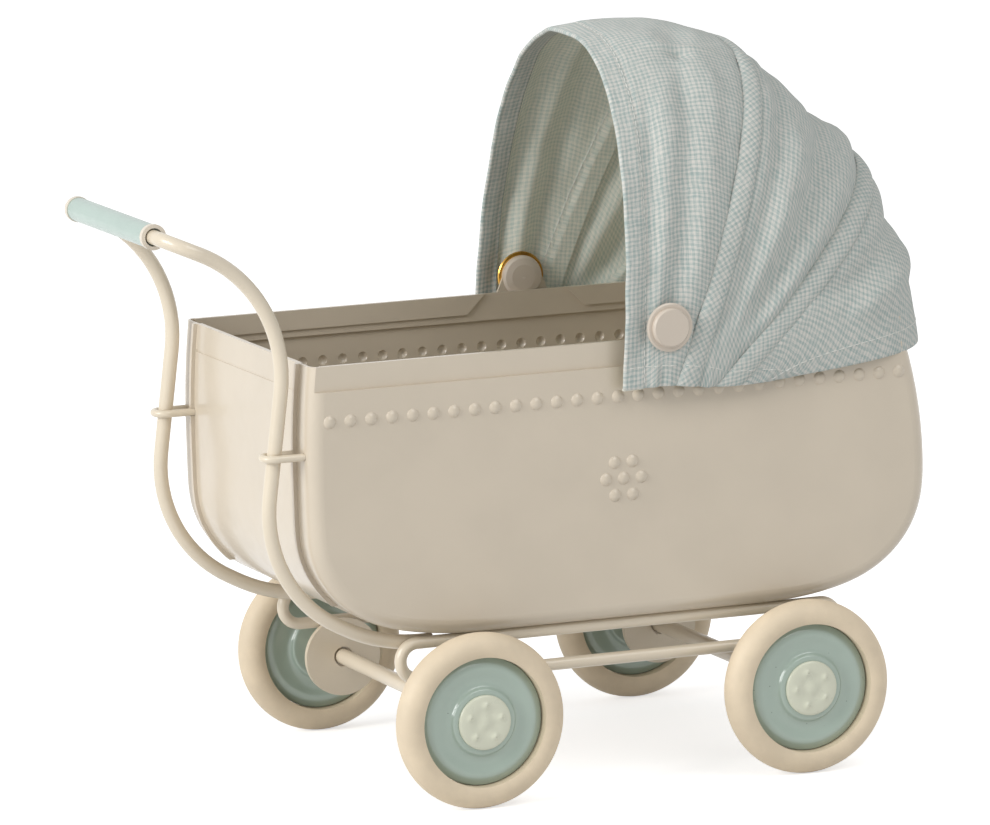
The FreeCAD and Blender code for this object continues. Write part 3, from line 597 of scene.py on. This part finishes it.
def grid_lengths(grid):
    """Distance from the first row along each column, and from the first column along each row."""
    down = np.linalg.norm(np.diff(grid, axis=0), axis=2)
    across = np.linalg.norm(np.diff(grid, axis=1), axis=2)
    down = np.concatenate([np.zeros((1, grid.shape[1])), np.cumsum(down, axis=0)])
    across = np.concatenate([np.zeros((grid.shape[0], 1)), np.cumsum(across, axis=1)], axis=1)
    return down, across


class Panel:
    """A stretch of hood: its points, outward normals, flat-cloth coordinates and shares of the next fold."""

    def __init__(self, names, rows, follow):
        self.shares = np.linspace(0, 1, rows)
        self.grid = surface(names, self.shares)
        self.normal = grid_normals(self.grid)
        self.down, self.across = grid_lengths(self.grid)
        self.follow = np.repeat(np.linspace(*follow, rows)[:, None], HOOD_COLUMNS, axis=1)
        self.flat = np.stack([self.across - self.across[:, -1:] / 2, self.down], axis=2)
        self.returned = np.zeros(HOOD_COLUMNS)

    def lift(self, height):
        """Moves every point outwards by its height."""
        self.grid = self.grid + self.normal * height[:, :, None]

    def turn_cloth(self, degrees):
        """Turns the weave in the flat cloth, for a panel cut across the grain."""
        turn = math.radians(degrees)
        u, v = self.flat[:, :, 0], self.flat[:, :, 1]
        self.flat = np.stack([u * math.cos(turn) - v * math.sin(turn),
                              u * math.sin(turn) + v * math.cos(turn)], axis=2)

    def line_in(self, edge, distance):
        """The line a distance in from an edge of the flat cloth: points, outward normals and shares."""
        values = np.concatenate([self.grid, self.normal, self.follow[:, :, None]], axis=2)
        ways = {"first": self.down.T, "last": (self.down[-1:] - self.down).T,
                "right": self.across, "left": self.across[:, -1:] - self.across}[edge]
        lanes = values if edge in ("right", "left") else values.swapaxes(0, 1)
        line = []
        for way, lane in zip(ways, lanes):
            if way[0] > way[-1]:
                way, lane = way[::-1], lane[::-1]
            line.append([np.interp(distance, way, lane[:, part]) for part in range(lane.shape[1])])
        line = np.array(line)
        return line[:, :3], line[:, 3:6], line[:, 6]

    def fold_rows(self, radius, width, at_end=False):
        """Turns a hem inwards along the first or the last row."""
        if at_end:
            self.flip_rows()
        inside = self.down[:, HOOD_COLUMNS // 2] - self.down[0, HOOD_COLUMNS // 2]
        kept = [row for row in range(1, len(inside)) if inside[row] <= width]
        outwards = self.grid[0] - self.grid[1]
        outwards /= np.linalg.norm(outwards, axis=1, keepdims=True)
        set_back = outwards * HEM_SET_BACK * self.returned[:, None]
        self.grid = self.grid - set_back * bell(self.down, HEM_SET_BACK_REACH)[:, :, None]
        turned = []
        for step in range(1, FOLD_STEPS + 1):
            turn = math.pi * step / FOLD_STEPS
            turned.append(self.grid[0] + outwards * radius * math.sin(turn)
                          - self.normal[0] * radius * (1 - math.cos(turn)))
        returned = [self.grid[row] - self.normal[row] * 2 * radius for row in kept]
        rows = [0] * FOLD_STEPS + kept
        self.stack_rows((turned + returned)[::-1], rows[::-1])
        if at_end:
            self.flip_rows()

    def tuck(self):
        """A seam allowance along the first row, under the neighbouring strip."""
        outwards = self.grid[0] - self.grid[1]
        outwards /= np.linalg.norm(outwards, axis=1, keepdims=True)
        extra = [self.grid[0] + outwards * TUCK_WIDTH * part - self.normal[0] * TUCK_DEPTH * part
                 for part in (1.0, 0.5)]
        self.stack_rows(extra, [0, 0])

    def line_strip(self, names):
        """Goes on from the last row under a casing, as its lining."""
        grid = surface(names, np.linspace(0, 1, LINING_ROWS + 1)[1:])
        lining = grid - grid_normals(grid) * LINING_DEPTH
        further = np.linalg.norm(grid - grid[:1], axis=2)
        self.flip_rows()
        self.stack_rows(lining[::-1], [0] * LINING_ROWS)
        self.flat[:LINING_ROWS, :, 1] += further[::-1]
        self.flip_rows()

    def stay_off(self, height, level, least):
        """The heights with none under least where the cloth hangs below a level."""
        low = ((level - self.grid[:, :, 2]) / CLEAR_BLEND).clip(0, 1)
        return height + (np.maximum(height, least) - height) * low

    def stack_rows(self, extra, rows):
        """Puts rows of points before the first, each with the other values of a row that is there."""
        self.grid = np.concatenate([np.array(extra), self.grid])
        self.normal = np.concatenate([self.normal[rows], self.normal])
        self.follow = np.concatenate([self.follow[rows], self.follow])
        self.flat = np.concatenate([self.flat[rows], self.flat])
        self.down = np.concatenate([self.down[rows], self.down])
        self.across = np.concatenate([self.across[rows], self.across])

    def flip_rows(self):
        """Makes the last row the first."""
        for name in ("grid", "normal", "follow", "flat", "across"):
            setattr(self, name, getattr(self, name)[::-1])
        self.down = self.down[-1:] - self.down[::-1]

    def fold_columns(self, radius, width):
        """Turns a hem inwards along both ends of every row."""
        columns = [column for column in range(1, HOOD_COLUMNS // 4) if self.across[0, column] <= width]
        parts = {name: getattr(self, name) for name in ("normal", "follow", "flat", "down", "across")}
        first = self.hem_columns(0, 1, columns, radius)
        last_columns = [HOOD_COLUMNS - 1 - column for column in columns]
        last = self.hem_columns(HOOD_COLUMNS - 1, HOOD_COLUMNS - 2, last_columns, radius)
        order_first = ([0] * FOLD_STEPS + columns)[::-1]
        order_last = [HOOD_COLUMNS - 1] * FOLD_STEPS + last_columns
        self.grid = np.concatenate([first[:, ::-1], self.grid, last], axis=1)
        for name, values in parts.items():
            wider = np.concatenate([values[:, order_first], values, values[:, order_last]], axis=1)
            setattr(self, name, wider)
        inner = np.concatenate([np.arange(1, FOLD_STEPS + 1) / FOLD_STEPS, np.ones(len(columns))])
        self.returned = np.concatenate([inner[::-1], np.zeros(HOOD_COLUMNS), inner])

    def hem_columns(self, edge, neighbour, columns, radius):
        """The turn round an edge column, then the returned cloth behind the columns beside it."""
        outwards = self.grid[:, edge] - self.grid[:, neighbour]
        outwards /= np.linalg.norm(outwards, axis=1, keepdims=True)
        made = []
        for step in range(1, FOLD_STEPS + 1):
            turn = math.pi * step / FOLD_STEPS
            made.append(self.grid[:, edge] + outwards * radius * math.sin(turn)
                        - self.normal[:, edge] * radius * (1 - math.cos(turn)))
        for column in columns:
            made.append(self.grid[:, column] - self.normal[:, column] * 2 * radius)
        return np.stack(made, axis=1)

    def piece(self, name):
        """The panel as a mesh piece with a UV map of its flat cloth and a thickness."""
        rows, columns = self.grid.shape[:2]
        faces = []
        for row in range(rows - 1):
            for column in range(columns - 1):
                corner = row * columns + column
                faces.append((corner, corner + columns, corner + columns + 1, corner + 1))
        made = piece_from(name, self.grid.reshape(-1, 3), faces, "canopy_cloth")
        flat = self.flat.reshape(-1, 2) * MM
        layer = made.data.uv_layers.new(name="cloth")
        indices = np.zeros(len(made.data.loops), int)
        made.data.loops.foreach_get("vertex_index", indices)
        layer.data.foreach_set("uv", flat[indices].ravel())
        solid = made.modifiers.new("thickness", "SOLIDIFY")
        solid.thickness = CLOTH_THICKNESS * MM
        solid.offset = -1.0
        # the inner face gets the paler cloth: painted light that stands in for light coming through the cloth
        made.data.materials.append(FINISHES["cloth_lit_through"])
        solid.material_offset = 1
        return made


def follow_fold(piece):
    """Bakes a hood piece's placement into its mesh."""
    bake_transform(piece)


def bell(distance, width):
    """1 where the distance is 0, falling to about a third a width away."""
    return np.exp(-(distance / width) ** 2)


FOLD_FADE = 10.0         # a fold comes in over this length at each end
HEM_WAVE_REACH = 4.0     # how far in from the feet the hem is drawn up
HEM_WAVE_CALM = 4.5      # how far from the first row it stays flat


def soft_fold(panel, side, run, shares, width, height):
    """The height of one fold along the section lines, faded out at both ends.

    side is -1 for the right half and 1 for the left; run is (start, end) in millimetres from the foot; shares
    are how far down the panel it lies at each end."""
    from_foot = panel.across if side < 0 else panel.across[:, -1:] - panel.across
    progress = ((from_foot - run[0]) / (run[1] - run[0])).clip(0, 1)
    centre = shares[0] + (shares[1] - shares[0]) * progress
    own = panel.down / panel.down[-1:].clip(1e-6)
    distance = (own - centre) * panel.down[-1:]
    ends = (np.minimum(from_foot - run[0], run[1] - from_foot) / FOLD_FADE).clip(0, 1)
    fade = ends * ends * (3 - 2 * ends)
    return height * bell(distance, width) * fade


def ripple(panel, size, height, seed):
    """Small uneven hollows all over."""
    field = np.zeros(panel.down.shape)
    for row in range(field.shape[0]):
        for column in range(field.shape[1]):
            u, v = panel.flat[row, column]
            field[row, column] = noise.noise(Vector((u / size, v / size, seed)))
    return field * height


# ---------------------------------------------------------------- hood: pieces

def stitches(name, line, outward, shares):
    """A row of stitches along a line on the cloth: the piece, and each point's share of the next fold."""
    steps = np.linalg.norm(np.diff(line, axis=0), axis=1)
    run = np.concatenate([[0], np.cumsum(steps)])
    points, faces, sources = [], [], []
    start = STITCH_PITCH * 0.4
    while start + STITCH_LENGTH < run[-1]:
        base = len(points)
        for ring in range(STITCH_RINGS):
            part = ring / (STITCH_RINGS - 1)
            place = start + STITCH_LENGTH * part
            centre = np.array([np.interp(place, run, line[:, axis]) for axis in range(3)])
            ahead = np.array([np.interp(place + 0.1, run, line[:, axis]) for axis in range(3)]) - centre
            ahead /= np.linalg.norm(ahead) + 1e-12
            index = int(np.interp(place, run, np.arange(len(line))))
            normal = outward[index]
            sideways = np.cross(ahead, normal)
            arc = math.sin(math.pi * part)
            middle = centre + normal * (STITCH_LIFT * arc - STITCH_RADIUS * (1 - arc))
            for turn in range(STITCH_SIDES):
                angle = 2 * math.pi * turn / STITCH_SIDES
                away = normal * math.cos(angle) + sideways * math.sin(angle)
                points.append(middle + away * STITCH_RADIUS)
                sources.append(index)
        for ring in range(STITCH_RINGS - 1):
            for turn in range(STITCH_SIDES):
                a = base + ring * STITCH_SIDES + turn
                b = base + ring * STITCH_SIDES + (turn + 1) % STITCH_SIDES
                faces.append((a, b, b + STITCH_SIDES, a + STITCH_SIDES))
        last_ring = base + (STITCH_RINGS - 1) * STITCH_SIDES
        faces.append(tuple(base + turn for turn in reversed(range(STITCH_SIDES))))
        faces.append(tuple(last_ring + turn for turn in range(STITCH_SIDES)))
        start += STITCH_PITCH
    made = piece_from(name, points, faces, "thread")
    return made, shares[sources]


def hem_pucker(panel, pitch, height):
    """The hem drawn up in small waves along both feet, flat beside the panel's first row."""
    near_foot = np.minimum(panel.across, panel.across[:, -1:] - panel.across)
    wave = np.sin(2 * math.pi * panel.down / pitch + 1.3 * np.sin(panel.down * 0.9))
    return height * bell(near_foot, HEM_WAVE_REACH) * wave * (1 - bell(panel.down, HEM_WAVE_CALM))


def pucker(panel, side, place, share, size, depth):
    """A pinched hollow at one spot with a lip over it."""
    from_foot = panel.across if side < 0 else panel.across[:, -1:] - panel.across
    along = from_foot - place
    over = (panel.down / panel.down[-1:].clip(1e-6) - share) * panel.down[-1:]
    hollow = bell(along + size * 0.5, size * 0.6) * bell(over, size * 0.8)
    lip = bell(along - size * 0.5, size * 0.35) * bell(over, size * 2.2)
    return depth * (0.7 * lip - hollow)


# Folds of each panel: side, run in millimetres from the foot, shares of the way down the panel at its two
# ends, width and height.
FRONT_FOLDS = [
    (-1, (1, 60), (0.26, 0.24), 1.7, -0.95),
    (-1, (8, 66), (0.4, 0.36), 2.2, 0.4),
    (-1, (6, 71), (0.6, 0.52), 2.0, -0.95),
    (-1, (12, 70), (0.82, 0.74), 2.2, 0.5),
    (-1, (62, 88), (0.45, 0.7), 3.2, -0.8),
    (1, (3, 66), (0.25, 0.3), 2.0, 1.1),
    (1, (6, 74), (0.52, 0.42), 2.2, -1.2),
    (1, (6, 60), (0.8, 0.62), 2.0, 1.0),
]
MIDDLE_FOLDS = [
    (-1, (8, 84), (0.2, 0.16), 1.9, -1.1),
    (-1, (6, 62), (0.42, 0.36), 2.4, 0.9),
    (-1, (10, 80), (0.66, 0.56), 2.4, -1.5),
    (-1, (8, 90), (0.86, 0.86), 2.0, 0.9),
    (1, (8, 80), (0.35, 0.3), 2.4, -1.2),
    (1, (8, 80), (0.7, 0.7), 2.4, 1.0),
]
REAR_FOLDS = [
    (-1, (12, 86), (0.18, 0.28), 2.8, -1.3),
    (-1, (18, 86), (0.44, 0.56), 2.8, 1.1),
    (-1, (24, 80), (0.72, 0.76), 2.4, -0.5),
    (1, (12, 84), (0.3, 0.4), 2.8, -1.0),
    (1, (18, 80), (0.6, 0.66), 2.6, 0.7),
]


def seam_groove(distance):
    return -SEAM_DEPTH * bell(distance, SEAM_WIDTH)


def front_panel():
    """From the front hem to the middle bow's casing."""
    names = ["front_edge", "front_stitch", "front_middle", "middle_casing_start"]
    panel = Panel(names, FRONT_ROWS, (1.0, 0.0))
    height = -FRONT_STITCHED_DEPTH * bell(panel.down - HEM_WIDTH, STITCHED_WIDTH)
    height += seam_groove(panel.down[-1:] - panel.down)
    for fold in FRONT_FOLDS:
        height += soft_fold(panel, *fold)
    height += pucker(panel, side=-1, place=71.0, share=0.56, size=2.4, depth=1.1)
    height += hem_pucker(panel, pitch=4.6, height=0.3)
    height += ripple(panel, size=11.0, height=0.5, seed=3.0)
    height += ripple(panel, size=5.0, height=0.22, seed=4.0)
    panel.lift(height)
    return panel


def middle_panel():
    """Between the casings of the middle and the back bow."""
    names = ["middle_casing_end", "middle_panel", "rear_casing_start"]
    panel = Panel(names, MIDDLE_ROWS, (1.0, 0.0))
    height = seam_groove(panel.down) + seam_groove(panel.down[-1:] - panel.down)
    for fold in MIDDLE_FOLDS:
        height += soft_fold(panel, *fold)
    height += hem_pucker(panel, pitch=3.2, height=0.35)
    height += ripple(panel, size=11.0, height=0.5, seed=7.0)
    height += ripple(panel, size=5.0, height=0.22, seed=8.0)
    panel.lift(height)
    return panel


def rear_panel():
    """From the back bow's casing down behind the tub, where its low part stays as the hood folds."""
    names = ["rear_casing_end", "rear_panel", "rear_low", "rear_hem"]
    panel = Panel(names, REAR_ROWS, (1.0, 0.0))
    height = seam_groove(panel.down)
    height -= REAR_STITCHED_DEPTH * bell(panel.down[-1:] - panel.down - HEM_WIDTH, STITCHED_WIDTH)
    for fold in REAR_FOLDS:
        height += soft_fold(panel, *fold)
    height += ripple(panel, size=10.0, height=0.45, seed=11.0)
    height += ripple(panel, size=5.0, height=0.2, seed=12.0)
    to_left = ((panel.across / panel.across[:, -1:] - LEFT_FROM) / LEFT_BLEND).clip(0, 1)
    panel.lift(panel.stay_off(height, CLEAR_FROM, CLEAR_LEAST + CLEAR_LEFT_MORE * to_left))
    near_foot = np.minimum(panel.across, panel.across[:, -1:] - panel.across)
    still = (1 - panel.shares[:, None] / REAR_STILL_FROM).clip(0, 1)
    panel.follow = 1 - (1 - still) * (1 - FEET_FOLLOW * bell(near_foot, FEET_REACH))
    panel.turn_cloth(REAR_CLOTH_TURN)
    return panel


def casing(start, end):
    """The strip over a bow: raised, with its edges let into the seams."""
    panel = Panel([start, end], CASING_ROWS, (0.0, 0.0))
    share = panel.shares[:, None]
    rise = CASING_RISE * (1 - np.abs(2 * share - 1) ** 3) - CASING_SINK
    panel.lift(np.repeat(rise, HOOD_COLUMNS, axis=1) + ripple(panel, size=7.0, height=0.2, seed=5.0))
    panel.turn_cloth(CASING_CLOTH_TURN)
    return panel


def sew(name, panel, edges, hold):
    """Stitching along the hem lines of a panel; hold makes each row follow what the panel follows."""
    for edge in edges:
        line, outward, shares = panel.line_in(edge, HEM_WIDTH - HEM_STITCH_INSET)
        rows, follow = stitches(f"{name}_stitching_{edge}", line, outward, shares)
        hold(rows, follow)


def sew_inside(name, panel, hold):
    """The seam to the next strip, seen as stitching on the inside of the cloth."""
    line, outward, shares = panel.line_in("last", SEAM_STITCH_INSET)
    inner = line - outward * (CLOTH_THICKNESS + 0.05)
    hold(*stitches(name + "_inner_stitching", inner, -outward, shares))


def build_panel(name, panel, hems, stood_for, lined_casing):
    """One soft panel with its stitching, hems and seam allowance, its placement baked into its mesh."""

    def hold(piece, shares):
        follow_fold(piece)

    sew(name, panel, hems + HEM_LINES, hold)
    if name == "hood_front":
        sew_inside(name, panel, hold)
    if "first" not in hems:
        panel.tuck()
    if lined_casing:
        panel.line_strip(lined_casing)
    panel.fold_columns(LOW_FOLD_RADIUS, HEM_WIDTH)
    if "first" in hems:
        panel.fold_rows(FRONT_FOLD_RADIUS, HEM_WIDTH)
    if "last" in hems:
        panel.fold_rows(FRONT_FOLD_RADIUS, HEM_WIDTH, at_end=True)
    piece = panel.piece(name)
    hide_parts(*stood_for)
    hold(piece, panel.follow)


def build_casing(name, panel, body, stood_for):
    """The casing of one bow, which turns with it."""
    def hold(piece, shares):
        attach(piece, body)

    sew(name, panel, HEM_LINES, hold)
    panel.fold_columns(LOW_FOLD_RADIUS, HEM_WIDTH)
    piece = panel.piece(name)
    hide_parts(stood_for)
    hold(piece, panel.follow)


def build_hood():
    """Three soft panels from front to rear, then the two casings between them."""
    middle_strip = ("middle_casing_start", "middle_casing_end")
    rear_strip = ("rear_casing_start", "rear_casing_end")
    build_panel("hood_front", front_panel(), ("first",),
                ("lead_gore", "lead_bow"), middle_strip)
    build_panel("hood_middle", middle_panel(), (),
                ("middle_gore",), rear_strip)
    build_panel("hood_rear", rear_panel(), ("last",),
                ("back_gore", "canopy_skirt"), ())
    build_casing("middle_casing", casing(*middle_strip), "middle_bow_set", "middle_bow")
    build_casing("rear_casing", casing(*rear_strip), "back_bow_set", "back_bow")


# ---------------------------------------------------------------- stage, light and camera

FLOOR_HALF = 6.0         # metres from the middle of the floor to its edge
FLOOR_GLOW = 0.6
WORLD_LIGHT = 0.48
KEY_PLACE, KEY_SIZE, KEY_POWER = (-2.0, -0.35, 0.95), (1.2, 1.1), 34.0
FILL_PLACE, FILL_SIZE, FILL_POWER = (0.5, -1.3, 1.7), (1.4, 1.0), 10.5
LAMP_TARGET = (0.0, 0.0, 0.07)
CAMERA_PLACE = (-0.66872, -1.59760, 0.36956)
CAMERA_TARGET = (-0.00001, 0.0, 0.07021)
CAMERA_ROLL = math.radians(-1.126)
CAMERA_LENS = 319.97
SENSOR_WIDTH = 36.0


def build_stage():
    """The floor that the pram stands on."""
    mesh = bpy.data.meshes.new("floor")
    corners = [(x * FLOOR_HALF, y * FLOOR_HALF, 0) for x, y in ((-1, -1), (1, -1), (1, 1), (-1, 1))]
    mesh.from_pydata(corners, [], [(0, 1, 2, 3)])
    mesh.materials.append(pale_floor())
    floor = bpy.data.objects.new("floor", mesh)
    bpy.context.scene.collection.objects.link(floor)


def area_lamp(name, place, size, power):
    """A rectangular lamp turned towards the pram."""
    data = bpy.data.lights.new(name, "AREA")
    data.shape = "RECTANGLE"
    data.size, data.size_y = size
    data.energy = power
    lamp = bpy.data.objects.new(name, data)
    lamp.location = place
    lamp.rotation_euler = (Vector(LAMP_TARGET) - Vector(place)).to_track_quat("-Z", "Y").to_euler()
    bpy.context.scene.collection.objects.link(lamp)


def build_light():
    """A studio that shows white to the camera but lights the pram more weakly, and two lamps."""
    world = bpy.data.worlds.new("studio")
    bpy.context.scene.world = world
    world.use_nodes = True
    tree = world.node_tree
    strength = tree.nodes.new("ShaderNodeMapRange")
    strength.inputs["To Min"].default_value = WORLD_LIGHT
    strength.inputs["To Max"].default_value = 1.0
    tree.links.new(seen_directly(tree), strength.inputs["Value"])
    background = tree.nodes["Background"]
    background.inputs["Color"].default_value = (1, 1, 1, 1)
    tree.links.new(strength.outputs["Result"], background.inputs["Strength"])
    area_lamp("key", KEY_PLACE, KEY_SIZE, KEY_POWER)
    area_lamp("fill", FILL_PLACE, FILL_SIZE, FILL_POWER)


def build_camera():
    """The camera of the photo, rolled a little about its own axis."""
    data = bpy.data.cameras.new("camera")
    data.lens = CAMERA_LENS
    data.sensor_width = SENSOR_WIDTH
    data.clip_start = 0.1
    data.clip_end = 20.0
    camera = bpy.data.objects.new("camera", data)
    bpy.context.scene.collection.objects.link(camera)
    place = Vector(CAMERA_PLACE)
    forward = (Vector(CAMERA_TARGET) - place).normalized()
    right = forward.cross(Vector((0, 0, 1))).normalized()
    up = right.cross(forward)
    rolled_right = right * math.cos(CAMERA_ROLL) + up * math.sin(CAMERA_ROLL)
    rolled_up = up * math.cos(CAMERA_ROLL) - right * math.sin(CAMERA_ROLL)
    matrix = Matrix((rolled_right, rolled_up, -forward)).transposed().to_4x4()
    matrix.translation = place
    camera.matrix_world = matrix
    bpy.context.scene.camera = camera


dress_frame()
build_wheels()
build_hood()
build_stage()
build_light()
build_camera()
bpy.context.scene.view_settings.view_transform = "Standard"
